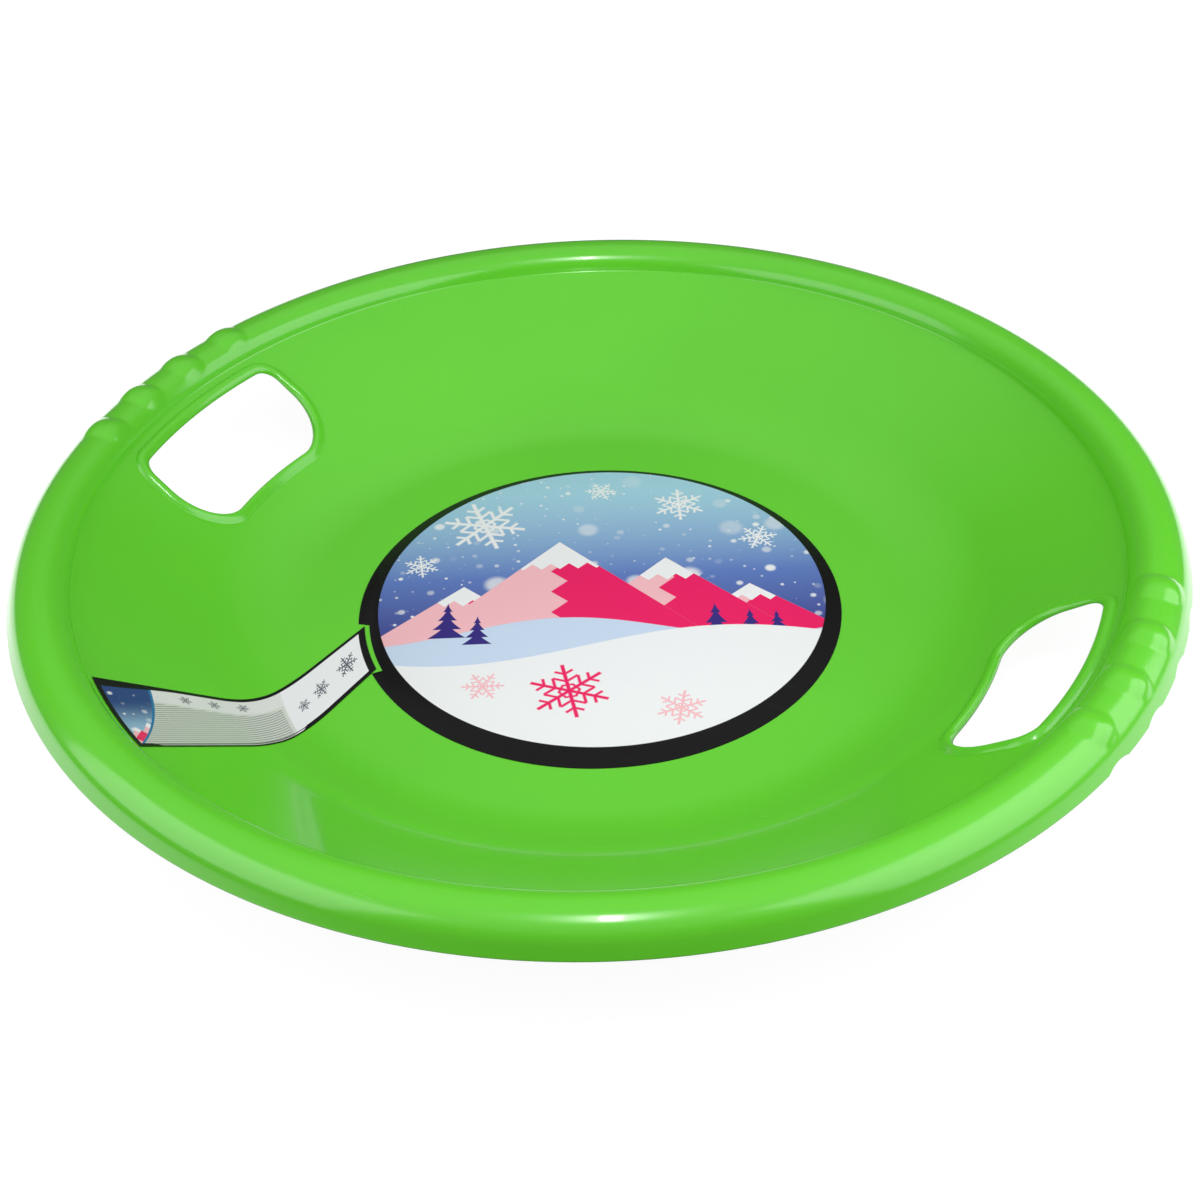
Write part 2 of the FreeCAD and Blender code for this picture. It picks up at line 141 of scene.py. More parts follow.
def upright(point, azimuth):
    """A point of the half section, given as radius and height, turned to its azimuth."""
    place = polar(point[0], azimuth)
    return Vector((place.x, place.y, point[1]))


# Centres and angles of the half section, from its sizes
EDGE = Vector((EDGE_RADIUS, SKIRT_HEIGHT))
SWEEP_CENTRE = Vector((FLOOR_RADIUS, WALL + SWEEP))
INNER_CENTRE = Vector((CREST_RADIUS - CREST_WIDTH, CREST_HEIGHT - INNER_BEND))
OUTER_CENTRE = Vector((CREST_RADIUS, CREST_HEIGHT - OUTER_BEND))
foot_height = CREST_HEIGHT - FOOT_DEPTH + FOOT
foot_reach = math.sqrt((FOOT + INNER_BEND) ** 2 - (foot_height - INNER_CENTRE.y) ** 2)
FOOT_CENTRE = Vector((INNER_CENTRE.x - foot_reach, foot_height))
sweep_to_foot = FOOT_CENTRE - SWEEP_CENTRE
SLOPE = heading(sweep_to_foot) + math.degrees(math.asin((SWEEP - FOOT) / sweep_to_foot.length))
TO_BEAD = heading(INNER_CENTRE - FOOT_CENTRE)
bead_to_edge = EDGE - OUTER_CENTRE
SHOULDER = heading(bead_to_edge) + math.degrees(math.acos(OUTER_BEND / bead_to_edge.length))
BEAD = {
    "inner": (INNER_CENTRE, INNER_BEND, TO_BEAD + 180, 90),
    "outer": (OUTER_CENTRE, OUTER_BEND, 90, SHOULDER),
}


def straight(start, end, steps):
    """Points after the start, up to the end."""
    return [start.lerp(end, step / steps) for step in range(1, steps + 1)]


def bend(centre, radius, first, last, steps):
    """Points of an arc after its first one."""
    return [centre + polar(radius, first + (last - first) * step / steps) for step in range(1, steps + 1)]


def half_section(depth, steps):
    """One face of the dish from its axis to the skirt's edge; depth is 0 on top and the wall below."""
    skirt_top = OUTER_CENTRE + polar(OUTER_BEND - depth, SHOULDER)
    down = EDGE - (OUTER_CENTRE + polar(OUTER_BEND, SHOULDER))
    skirt_end = skirt_top + down * ((SKIRT_HEIGHT - skirt_top.y) / down.y)
    points = [Vector((0, WALL - depth))]
    points += straight(points[-1], Vector((FLOOR_RADIUS, WALL - depth)), steps["floor"])
    points += bend(SWEEP_CENTRE, SWEEP + depth, -90, SLOPE - 90, steps["sweep"])
    points += straight(points[-1], FOOT_CENTRE + polar(FOOT + depth, SLOPE - 90), steps["cone"])
    points += bend(FOOT_CENTRE, FOOT + depth, SLOPE - 90, TO_BEAD, steps["foot"])[:-1]
    for part, (centre, radius, first, last) in BEAD.items():
        points.append(centre + polar(radius - depth, first))
        points += bend(centre, radius - depth, first, last, steps[part])
    points += straight(points[-1], skirt_end, steps["skirt"])
    return points


def dish_height(radius, depth=0.0):
    """Height of the dish's face between its axis and the rim's foot."""
    sweep = SWEEP + depth
    sweep_end = SWEEP_CENTRE + polar(sweep, SLOPE - 90)
    if radius <= FLOOR_RADIUS:
        return WALL - depth
    if radius <= sweep_end.x:
        return SWEEP_CENTRE.y - math.sqrt(sweep ** 2 - (radius - FLOOR_RADIUS) ** 2)
    return sweep_end.y + (radius - sweep_end.x) * math.tan(math.radians(SLOPE))


# Modelling helpers


def begin_piece(name):
    """A new piece in edit mode that is one vertex at the origin."""
    bpy.ops.object.select_all(action="DESELECT")
    bpy.ops.mesh.primitive_plane_add(size=WALL)
    piece = bpy.context.object
    piece.name = name
    piece.data.name = name
    bpy.ops.object.mode_set(mode="EDIT")
    bpy.ops.mesh.select_mode(type="VERT")
    bpy.ops.mesh.select_all(action="SELECT")
    bpy.ops.mesh.merge(type="CENTER")
    return piece


def draw_chain(piece, points):
    """Moves the piece's one vertex to the first point and extrudes it through the others."""
    mesh = bmesh.from_edit_mesh(piece.data)
    mesh.verts.ensure_lookup_table()
    mesh.verts[0].co = points[0]
    bmesh.update_edit_mesh(piece.data)
    for before, after in zip(points, points[1:]):
        bpy.ops.mesh.extrude_vertices_move(TRANSFORM_OT_translate={"value": after - before})


def select_vertices(piece, wanted):
    bpy.ops.mesh.select_mode(type="VERT")
    bpy.ops.mesh.select_all(action="DESELECT")
    mesh = bmesh.from_edit_mesh(piece.data)
    for vertex in mesh.verts:
        vertex.select = wanted(vertex.co)
    mesh.select_flush_mode()
    bmesh.update_edit_mesh(piece.data)


def close_seams(piece):
    """Merges what a spin or a seam left double and turns the faces outwards."""
    bpy.ops.mesh.select_all(action="SELECT")
    bpy.ops.mesh.remove_doubles(threshold=SEAM)
    bpy.ops.mesh.normals_make_consistent(inside=False)


def finish_piece(piece, material, node, crease=35):
    """Leaves edit mode, shades the piece and hands it to the frame."""
    bpy.ops.object.mode_set(mode="OBJECT")
    bpy.ops.object.shade_smooth_by_angle(angle=math.radians(crease))
    piece.data.materials.clear()
    piece.data.materials.append(material)
    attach(piece, "root")
    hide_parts(node)


# The dish


def off_azimuth(place, azimuth):
    """Angle of a place from an azimuth, between -180 and 180."""
    return (heading(place) - azimuth + 180) % 360 - 180


def push(piece, wanted, shift, reach):
    """Moves the wanted vertices and, less and less, those within reach of them."""
    select_vertices(piece, wanted)
    bpy.ops.transform.translate(
        value=shift, use_proportional_edit=True,
        proportional_edit_falloff="INVERSE_SQUARE", proportional_size=reach)


def on_bead(place):
    """Whether a place lies on the upper face of the rim's bead."""
    for centre, radius, first, last in BEAD.values():
        arm = Vector((place.xy.length, place.z)) - centre
        if last <= heading(arm) <= first:
            return arm.length > radius - WALL / 2
    return False


def raise_grip(piece, azimuth):
    """One finger grip: the rim's bead swells and the skirt's edge draws in below it."""
    half_step = GRIP_SECTOR / GRIP_SECTOR_STEPS

    def on_grip(place):
        near = abs(off_azimuth(place, azimuth)) < half_step
        return near and GRIP_RADII[0] < place.xy.length < GRIP_RADII[1] and on_bead(place)

    def on_edge(place):
        low = place.z < SKIRT_HEIGHT + EDGE_ROUND / 4
        return low and place.xy.length > CREST_RADIUS and abs(off_azimuth(place, azimuth)) < half_step

    push(piece, on_grip, upright(GRIP_LIFT, azimuth), GRIP_REACH)
    push(piece, on_edge, upright(polar(NOTCH_RISE, SHOULDER + 90), azimuth), NOTCH_REACH)


def opening_quarter():
    """Half of the hole's edge in plan, from the middle of the rim side to the middle of the inner side.

    Each stretch is a line, as two points, or an arc, as centre, radius, first and last angle.
    """
    corner_up = OPENING_HALF - OUTER_CORNER
    corner_across = math.sqrt((OPENING_OUTER - OUTER_CORNER) ** 2 - corner_up ** 2)
    bearing = heading(Vector((corner_across, corner_up)))
    outer = Vector((corner_across, corner_up))
    corner_up = OPENING_HALF - INNER_CORNER
    inner = Vector((math.sqrt((OPENING_INNER + INNER_CORNER) ** 2 - corner_up ** 2), corner_up))
    inward = 180 + heading(inner)
    middle = (bearing + 90) / 2
    rim_side = [(Vector((0, 0)), OPENING_OUTER, 0, bearing), (outer, OUTER_CORNER, bearing, middle)]
    end_side = [(outer, OUTER_CORNER, middle, 90),
                (outer + Vector((0, OUTER_CORNER)), inner + Vector((0, INNER_CORNER))),
                (inner, INNER_CORNER, 90, 135)]
    inner_side = [(inner, INNER_CORNER, 135, inward), (Vector((0, 0)), -OPENING_INNER, inward, 180)]
    return rim_side, end_side, inner_side


def along(stretches, share):
    """Place and outward direction at a share of the way along some stretches."""
    lengths = [(part[1] - part[0]).length if len(part) == 2 else part[1] * math.radians(part[3] - part[2])
               for part in stretches]
    left = share * sum(lengths)
    for part, length in zip(stretches, lengths):
        if left <= length or part is stretches[-1]:
            break
        left -= length
    fraction = min(left / length, 1.0)
    if len(part) == 2:
        run = (part[1] - part[0]).normalized()
        return part[0].lerp(part[1], fraction), Vector((run.y, -run.x))
    angle = part[2] + (part[3] - part[2]) * fraction
    return part[0] + polar(part[1], angle), polar(1, angle)


def opening_edge(loop, turn):
    """For each vertex of a block's edge: its place on the hole's edge and the direction out of the hole."""
    rim_side, end_side, inner_side = opening_quarter()
    places = [vertex.co.copy() for vertex in loop]
    radii = [place.xy.length for place in places]
    angles = [off_azimuth(place, turn) for place in places]
    half = max(angles)
    ladder = sorted(radius for radius, angle in zip(radii, angles) if half - angle < SEAM_ANGLE)
    targets = []
    for radius, angle in zip(radii, angles):
        side = 1 if angle >= 0 else -1
        if half - abs(angle) < SEAM_ANGLE:
            rung = min(range(len(ladder)), key=lambda step: abs(ladder[step] - radius))
            place, out = along(end_side, 1 - rung / (len(ladder) - 1))
        elif radius > sum(BLOCK_RADII) / 2:
            place, out = along(rim_side, abs(angle) / half)
        else:
            place, out = along(inner_side, 1 - abs(angle) / half)
        targets.append((Vector((place.x, place.y * side)), Vector((out.x, out.y * side))))
    return places, targets


def opening_rings(places, targets, turn, profile, depth):
    """Rings of places from a block's edge to the lip, then over the lip to the hole."""
    reach = profile[0][0] * MM
    cos, sin = math.cos(math.radians(turn)), math.sin(math.radians(turn))

    def turned(plan):
        return Vector((plan.x * cos - plan.y * sin, plan.x * sin + plan.y * cos))

    rings = []
    for ring in range(1, BLOCK_RINGS):
        row = []
        for place, (edge, out) in zip(places, targets):
            plan = place.xy.lerp(turned(edge + out * reach), ring / BLOCK_RINGS)
            row.append(Vector((plan.x, plan.y, dish_height(plan.length, depth))))
        rings.append(row)
    for distance, inner_height, rim_height in profile:
        row = []
        for edge, out in targets:
            plan = turned(edge + out * distance * MM)
            share = (edge.length - OPENING_INNER) / (OPENING_OUTER - OPENING_INNER)
            height = inner_height + (rim_height - inner_height) * share
            row.append(Vector((plan.x, plan.y, dish_height(plan.length) + height * MM)))
        rings.append(row)
    return rings


def extrude_rings(piece, loop_edges, loop, rings):
    """Extrudes a loop of edges ring by ring, each vertex to its own place."""
    mesh = bmesh.from_edit_mesh(piece.data)
    place_number = mesh.verts.layers.int["place_number"]
    for number, vertex in enumerate(loop):
        vertex[place_number] = number
    bpy.ops.mesh.select_mode(type="EDGE")
    bpy.ops.mesh.select_all(action="DESELECT")
    for edge in loop_edges:
        edge.select_set(True)
    bmesh.update_edit_mesh(piece.data)
    for row in rings:
        bpy.ops.mesh.extrude_edges_indiv()
        mesh = bmesh.from_edit_mesh(piece.data)
        place_number = mesh.verts.layers.int["place_number"]
        for vertex in mesh.verts:
            if vertex.select:
                vertex.co = row[vertex[place_number]]
        bmesh.update_edit_mesh(piece.data)


def open_hand_hole(piece, turn):
    """Replaces a block of the wall by a rounded hole with a raised lip."""

    def in_block(face):
        middle = face.calc_center_median()
        radius = middle.xy.length
        inside = BLOCK_RADII[0] < radius < BLOCK_RADII[1] and abs(off_azimuth(middle, turn)) < BLOCK_HALF
        return inside and middle.z < CREST_HEIGHT - FOOT_DEPTH

    bpy.ops.mesh.select_mode(type="FACE")
    bpy.ops.mesh.select_all(action="DESELECT")
    mesh = bmesh.from_edit_mesh(piece.data)
    for face in mesh.faces:
        face.select_set(in_block(face))
    bmesh.update_edit_mesh(piece.data)
    bpy.ops.mesh.delete(type="FACE")

    for depth, profile in ((0.0, LIP_TOP), (WALL, LIP_UNDER)):
        mesh = bmesh.from_edit_mesh(piece.data)

        def on_face(vertex):
            level = dish_height(vertex.co.xy.length, depth)
            return abs(vertex.co.z - level) < MM / 10 and abs(off_azimuth(vertex.co, turn)) < GRIP_SECTOR

        edges = [edge for edge in mesh.edges if edge.is_boundary and all(on_face(end) for end in edge.verts)]
        loop = list(dict.fromkeys(vertex for edge in edges for vertex in edge.verts))
        places, targets = opening_edge(loop, turn)
        extrude_rings(piece, edges, loop, opening_rings(places, targets, turn, profile, depth))
    close_seams(piece)


def make_dish(material):
    """The half section spun round in four sectors, with finer steps at the grips and hand openings."""
    piece = begin_piece("sled_dish")
    top = half_section(0.0, TOP_STEPS)
    under = half_section(WALL, UNDER_STEPS)
    draw_chain(piece, [upright(point, -GRIP_SECTOR) for point in top + under[::-1]])
    corners = [upright(point, -GRIP_SECTOR) for point in (top[-1], under[-1])]
    select_vertices(piece, lambda place: any((place - corner).length < MM / 100 for corner in corners))
    bpy.ops.mesh.bevel(offset=EDGE_ROUND, segments=4, affect="VERTICES")
    bpy.ops.mesh.select_all(action="SELECT")
    half_turn = ((GRIP_SECTOR_STEPS, 2 * GRIP_SECTOR), (PLAIN_SECTOR_STEPS, 180 - 2 * GRIP_SECTOR))
    for steps, angle in half_turn * 2:
        bpy.ops.mesh.spin(steps=steps, angle=math.radians(angle), center=(0, 0, 0), axis=(0, 0, -1))
    close_seams(piece)
    bmesh.from_edit_mesh(piece.data).verts.layers.int.new("place_number")
    for turn in (0, 180):
        for place in GRIP_ROW:
            raise_grip(piece, turn + place * GRIP_PITCH)
        open_hand_hole(piece, turn)
    finish_piece(piece, material, "dish")
    piece.data.attributes.remove(piece.data.attributes["place_number"])


# The films


def make_decal(material):
    """A round film whose edge steps in where the label's end lies."""
    recess = DECAL_RADIUS - DECAL_RECESS
    clearance = math.degrees(LABEL_GAP / recess)
    first = LABEL_DIRECTION + LABEL_EDGES["left"][0] - clearance
    last = LABEL_DIRECTION + LABEL_EDGES["right"][0] + clearance
    outline = [polar(DECAL_RADIUS, last)]
    outline += bend(Vector((0, 0)), DECAL_RADIUS, last, first + 360, DECAL_STEPS)
    outline += bend(Vector((0, 0)), recess, first - 1e-3, last, RECESS_STEPS)
    piece = begin_piece("floor_decal")
    draw_chain(piece, [Vector((point.x, point.y, WALL)) for point in outline])
    bpy.ops.mesh.select_all(action="SELECT")
    bpy.ops.mesh.edge_face_add()
    bpy.ops.mesh.extrude_region_move(TRANSFORM_OT_translate={"value": (0, 0, FILM)})
    bpy.ops.mesh.bevel(offset=FILM / 4, segments=2, affect="EDGES")
    close_seams(piece)
    finish_piece(piece, material, "centre_decal")


def label_edge(side):
    """One long edge of the label in plan: a run on the floor, a turn and a run up the wall."""
    start, turn, end = (LABEL_DIRECTION + angle for angle in LABEL_EDGES[side])
    first = polar(LABEL_START_RADIUS, start)
    corner = polar(LABEL_TURN_RADIUS, turn)
    last = polar(LABEL_END_RADIUS, end)
    before = (corner - first).normalized()
    after = (last - corner).normalized()
    angle = before.angle_signed(after)
    setback = LABEL_BEND * math.tan(abs(angle) / 2)
    bend_start = corner - before * setback
    bend_end = corner + after * setback
    return first, bend_start, corner, bend_end, last


def on_label_edge(points, share):
    """A place along a label's edge; the turn is a curve that touches both runs."""
    first, bend_start, corner, bend_end, last = points
    turn_length = 2 * (corner - bend_start).length
    runs = [(bend_start - first).length, turn_length, (last - bend_end).length]
    left = share * sum(runs)
    if left <= runs[0]:
        return first.lerp(bend_start, left / runs[0])
    left -= runs[0]
    if left <= runs[1]:
        fraction = left / runs[1]
        return bend_start.lerp(corner, fraction).lerp(corner.lerp(bend_end, fraction), fraction)
    return bend_end.lerp(last, (left - runs[1]) / runs[2])


def make_label(material):
    """A long film on the wall, with its print's measures in two UV maps."""
    across, up = LABEL_GRID
    bpy.ops.object.select_all(action="DESELECT")
    bpy.ops.mesh.primitive_grid_add(x_subdivisions=across, y_subdivisions=up, size=2)
    piece = bpy.context.object
    piece.name = "wall_label"
    piece.data.name = "wall_label"
    left_edge, right_edge = label_edge("left"), label_edge("right")
    measures = {}
    length = 0.0
    middle_before = None
    rows = []
    for row in range(up + 1):
        left = on_label_edge(left_edge, row / up)
        right = on_label_edge(right_edge, row / up)
        middle = (left + right) / 2
        middle = Vector((middle.x, middle.y, dish_height(middle.length)))
        length += (middle - middle_before).length if middle_before else 0.0
        middle_before = middle
        rows.append((left, right, length))
    for vertex in piece.data.vertices:
        share = (vertex.co.x + 1) / 2
        left, right, run = rows[round((vertex.co.y + 1) / 2 * up)]
        radius = left.length + (right.length - left.length) * share
        angle = heading(left) + (heading(right) - heading(left)) * share
        width = (right - left).length
        measures[vertex.index] = (share * width, run, (1 - share) * width, length - run)
        vertex.co = upright((radius, dish_height(radius) + LABEL_SEAT), angle)
    start_map = piece.data.uv_layers[0]
    start_map.name = "from_start"
    end_map = piece.data.uv_layers.new(name="from_end")
    for loop in piece.data.loops:
        shares = [value / PRINT_SPAN for value in measures[loop.vertex_index]]
        start_map.data[loop.index].uv = shares[:2]
        end_map.data[loop.index].uv = shares[2:]
    bpy.ops.object.mode_set(mode="EDIT")
    bpy.ops.mesh.select_all(action="SELECT")
    bpy.ops.mesh.extrude_region_move(TRANSFORM_OT_translate={"value": (0, 0, FILM)})
    close_seams(piece)
    finish_piece(piece, material, "side_label")


# Shader helpers


def add(tree, kind, inputs=None, **settings):
    """A node with its settings made and its inputs set or linked."""
    node = tree.nodes.new(kind)
    for name, value in settings.items():
        setattr(node, name, value)
    for name, value in (inputs or {}).items():
        if isinstance(value, bpy.types.NodeSocket):
            tree.links.new(value, node.inputs[name])
        else:
            node.inputs[name].default_value = value
    return node


def calc(tree, operation, *values):
    return add(tree, "ShaderNodeMath", dict(enumerate(values)), operation=operation).outputs[0]


def length_of(tree, x, y):
    return calc(tree, "SQRT", calc(tree, "ADD", calc(tree, "POWER", x, 2.0), calc(tree, "POWER", y, 2.0)))


def ramp(tree, value, low, high, start=0.0, end=1.0):
    """A smooth step of a value between low and high."""
    inputs = {"Value": value, "From Min": low, "From Max": high, "To Min": start, "To Max": end}
    return add(tree, "ShaderNodeMapRange", inputs, interpolation_type="SMOOTHSTEP").outputs["Result"]


def over(tree, mask, below, above):
    """One colour laid over another by a mask."""
    inputs = {"Factor": mask, 6: below, 7: above}
    return add(tree, "ShaderNodeMix", inputs, data_type="RGBA").outputs[2]


def new_group(name, inputs, outputs):
    """An empty node group with float sockets, or a vector for the input named Vector."""
    group = bpy.data.node_groups.new(name, "ShaderNodeTree")
    for title in inputs:
        kind = "NodeSocketVector" if title == "Vector" else "NodeSocketFloat"
        group.interface.new_socket(title, in_out="INPUT", socket_type=kind)
    for title in outputs:
        group.interface.new_socket(title, in_out="OUTPUT", socket_type="NodeSocketFloat")
    given = group.nodes.new("NodeGroupInput").outputs
    result = group.nodes.new("NodeGroupOutput").inputs
    return group, given, result


def use(tree, group, **inputs):
    """A node group placed in a tree; the result is its outputs."""
    titles = {name.replace("_", " ").capitalize(): value for name, value in inputs.items()}
    return add(tree, "ShaderNodeGroup", titles, node_tree=group).outputs


def new_material(name):
    """A material with only its output and a Principled shader."""
    material = bpy.data.materials.new(name)
    material.use_nodes = True
    tree = material.node_tree
    tree.nodes.clear()
    shader = add(tree, "ShaderNodeBsdfPrincipled")
    add(tree, "ShaderNodeOutputMaterial", {"Surface": shader.outputs[0]})
    return material, tree, shader


def handling_marks_group():
    """Hairline scratches and a soft cloudiness, as plastic has from being stacked and carried."""
    group, given, result = new_group("handling_marks", ["Vector", "Density"], ["Scratches", "Cloud"])
    total = None
    for turn, seed in ((0.3, 0.0), (1.4, 3.1), (2.5, 7.7)):
        lay = add(group, "ShaderNodeMapping", {"Vector": given["Vector"], "Location": (seed, seed, seed),
                                               "Rotation": (0, 0, turn), "Scale": (14, 900, 300)})
        hair = add(group, "ShaderNodeTexNoise", {"Vector": lay.outputs[0], "Scale": 1.0, "Detail": 2.0})
        line = ramp(group, hair.outputs["Fac"], 0.70, 0.80)
        total = line if total is None else calc(group, "MAXIMUM", total, line)
    patch = add(group, "ShaderNodeTexNoise", {"Vector": given["Vector"], "Scale": 9.0, "Detail": 3.0})
    worn = ramp(group, patch.outputs["Fac"], 0.45, 0.7)
    faint = calc(group, "MULTIPLY", calc(group, "MULTIPLY", total, worn), given["Density"])
    cloud = add(group, "ShaderNodeTexNoise", {"Vector": given["Vector"], "Scale": 5.0, "Detail": 4.0})
    group.links.new(faint, result["Scratches"])
    group.links.new(cloud.outputs["Fac"], result["Cloud"])
    return group


def snowflake_group():
    """A six-armed flake with two pairs of side branches on each arm and a hexagon at its heart."""
    group, given, result = new_group("snowflake", ["X", "Y", "Across", "Up", "Size", "Turn"], ["Mask"])
    x = calc(group, "DIVIDE", calc(group, "SUBTRACT", given["X"], given["Across"]), given["Size"])
    y = calc(group, "DIVIDE", calc(group, "SUBTRACT", given["Y"], given["Up"]), given["Size"])
    reach = length_of(group, x, y)
    angle = calc(group, "ADD", calc(group, "ARCTAN2", y, x), given["Turn"])
    sector = calc(group, "WRAP", angle, math.pi / 6, -math.pi / 6)
    out = calc(group, "MULTIPLY", reach, calc(group, "COSINE", sector))
    aside = calc(group, "ABSOLUTE", calc(group, "MULTIPLY", reach, calc(group, "SINE", sector)))
    half_width = 0.05
    arm = calc(group, "SUBTRACT", aside, half_width)
    shapes = [calc(group, "MAXIMUM", arm, calc(group, "SUBTRACT", out, 1.0))]
    ring = calc(group, "ABSOLUTE", calc(group, "SUBTRACT", out, 0.22))
    shapes.append(calc(group, "SUBTRACT", ring, 0.035))
    cos, sin = math.cos(math.pi / 3), math.sin(math.pi / 3)
    for root, length in ((0.36, 0.36), (0.64, 0.26)):
        from_root = calc(group, "SUBTRACT", out, root)
        run = calc(group, "ADD", calc(group, "MULTIPLY", from_root, cos), calc(group, "MULTIPLY", aside, sin))
        off = calc(group, "SUBTRACT", calc(group, "MULTIPLY", from_root, sin),
                   calc(group, "MULTIPLY", aside, cos))
        width = calc(group, "SUBTRACT", calc(group, "ABSOLUTE", off), half_width * 0.8)
        ends = calc(group, "MAXIMUM", calc(group, "SUBTRACT", run, length),
                    calc(group, "MULTIPLY", run, -1.0))
        shapes.append(calc(group, "MAXIMUM", width, ends))
    nearest = shapes[0]
    for shape in shapes[1:]:
        nearest = calc(group, "MINIMUM", nearest, shape)
    group.links.new(ramp(group, nearest, 0.02, -0.02), result["Mask"])
    return group


def peak_group():
    """A mountain in profile: its outline, its shaded side and its snow cap with a ragged lower edge."""
    sizes = ["X", "Y", "Across", "Top", "Slope", "Cap"]
    group, given, result = new_group("peak", sizes, ["Rock", "Shade", "Snow"])
    x = calc(group, "SUBTRACT", given["X"], given["Across"])
    ragged = calc(group, "PINGPONG", calc(group, "ADD", x, 200.0), 5.0)
    flank = calc(group, "MULTIPLY", calc(group, "ABSOLUTE", x), given["Slope"])
    outline = calc(group, "SUBTRACT", calc(group, "SUBTRACT", given["Top"], flank), given["Y"])
    rock = ramp(group, outline, -0.2, 0.2)
    wander = calc(group, "PINGPONG", calc(group, "ADD", given["Y"], 200.0), 9.0)
    turned = calc(group, "SUBTRACT", calc(group, "ADD", x, wander), 4.0)
    shade = calc(group, "MULTIPLY", rock, ramp(group, turned, -0.2, 0.2))
    line = calc(group, "ADD", calc(group, "SUBTRACT", given["Top"], given["Cap"]), ragged)
    snow = calc(group, "MULTIPLY", rock, ramp(group, calc(group, "SUBTRACT", given["Y"], line), -0.2, 0.2))
    for title, mask in (("Rock", rock), ("Shade", shade), ("Snow", snow)):
        group.links.new(mask, result[title])
    return group


def fir_group():
    """A fir tree in profile, with tiers that widen towards its foot."""
    group, given, result = new_group("fir", ["X", "Y", "Across", "Foot", "Height"], ["Mask"])
    x = calc(group, "ABSOLUTE", calc(group, "SUBTRACT", given["X"], given["Across"]))
    tip = calc(group, "ADD", given["Foot"], given["Height"])
    down = calc(group, "DIVIDE", calc(group, "SUBTRACT", tip, given["Y"]), given["Height"])
    tier = calc(group, "FRACT", calc(group, "MULTIPLY", down, 3.999))
    spread = calc(group, "MULTIPLY", down, calc(group, "ADD", calc(group, "MULTIPLY", tier, 0.2), 0.14))
    width = calc(group, "MULTIPLY", spread, given["Height"])
    body = calc(group, "MULTIPLY", ramp(group, calc(group, "SUBTRACT", width, x), -0.2, 0.2),
                ramp(group, down, 0.0, 0.01))
    group.links.new(calc(group, "MULTIPLY", body, ramp(group, down, 1.0, 0.99)), result["Mask"])
    return group


def snowfall_group():
    """Soft round dots of many sizes."""
    group, given, result = new_group("snowfall", ["Vector", "Spacing", "Size"], ["Mask"])
    scale = calc(group, "DIVIDE", 1.0, given["Spacing"])
    inputs = {"Vector": given["Vector"], "Scale": scale, "Randomness": 0.85}
    cells = add(group, "ShaderNodeTexVoronoi", inputs, voronoi_dimensions="2D")
    chance = add(group, "ShaderNodeSeparateColor", {"Color": cells.outputs["Color"]})
    reach = calc(group, "MULTIPLY", calc(group, "POWER", chance.outputs[0], 2.0), given["Size"])
    share = calc(group, "DIVIDE", cells.outputs["Distance"], reach)
    group.links.new(calc(group, "MULTIPLY", ramp(group, share, 1.0, 0.45), chance.outputs[1]), result["Mask"])
    return group


# Materials; sizes of the prints are in millimetres

GREEN_DEEP = (0.114, 0.590, 0.019, 1)
GREEN_LIGHT = (0.122, 0.625, 0.021, 1)
GREEN_SCUFFED = (0.30, 0.72, 0.2, 1)
GREEN_GLOSS = {"IOR": 1.5, "Specular IOR Level": 0.6, "Coat Weight": 0.3, "Coat Roughness": 0.06}
FILM_GLOSS = {"IOR": 1.48, "Specular IOR Level": 0.25}
CLOUD_RANGE = (0.25, 0.75)
GREEN_ROUGHNESS = (0.19, 0.23)
DECAL_ROUGHNESS = (0.2, 0.27)
LABEL_ROUGHNESS = (0.24, 0.32)

PRINT_BLACK = (0.004, 0.0035, 0.004, 1)
PRINT_WHITE = (0.82, 0.83, 0.85, 1)
PRINT_MAGENTA = (0.80, 0.012, 0.125, 1)
PRINT_PINK = (0.86, 0.47, 0.52, 1)
PRINT_INDIGO = (0.035, 0.022, 0.20, 1)

# The decal's picture, from its centre; a flake has its place, size and turn
PRINT_RADIUS = 119.4
PRINT_CENTRE = (1.1, 6.5)
SKY_SPAN = 125.0
SKY_BLUE = (0.11, 0.19, 0.50, 1)
SKY_PALE = (0.36, 0.60, 0.76, 1)
SNOWFALL = ((26.0, 0.34), (13.0, 0.24), (9.0, 0.16))
SKY_FLAKES = ((-64, 70, 23, 0.2), (46, 84, 15, 0.5), (2, 100, 9, 0.1), (88, 50, 11, 0.9), (-98, 34, 10, 0.4))
PEAKS = ((-74, 14, 0.95, 17), (80, 8, 0.9, 15), (36, 34, 1.05, 20), (-22, 52, 1.1, 25))
FIRS = ((-82, -30, 30), (-66, -36, 24), (60, -42, 34), (78, -40, 26), (92, -36, 20))
FAR_HILL = {"stretch": 34.0, "shift": 2.2, "swell": 10.0, "drop": 26.0}
NEAR_HILL = {"stretch": 46.0, "shift": 0.2, "swell": 13.0, "drop": 40.0}
HILL_SHADE = (0.55, 0.66, 0.83, 1)
MAGENTA_FLAKES = ((-18, -76, 21, 0.35),)
PINK_FLAKES = ((38, -92, 13, 0.7), (-62, -70, 11, 0.0))

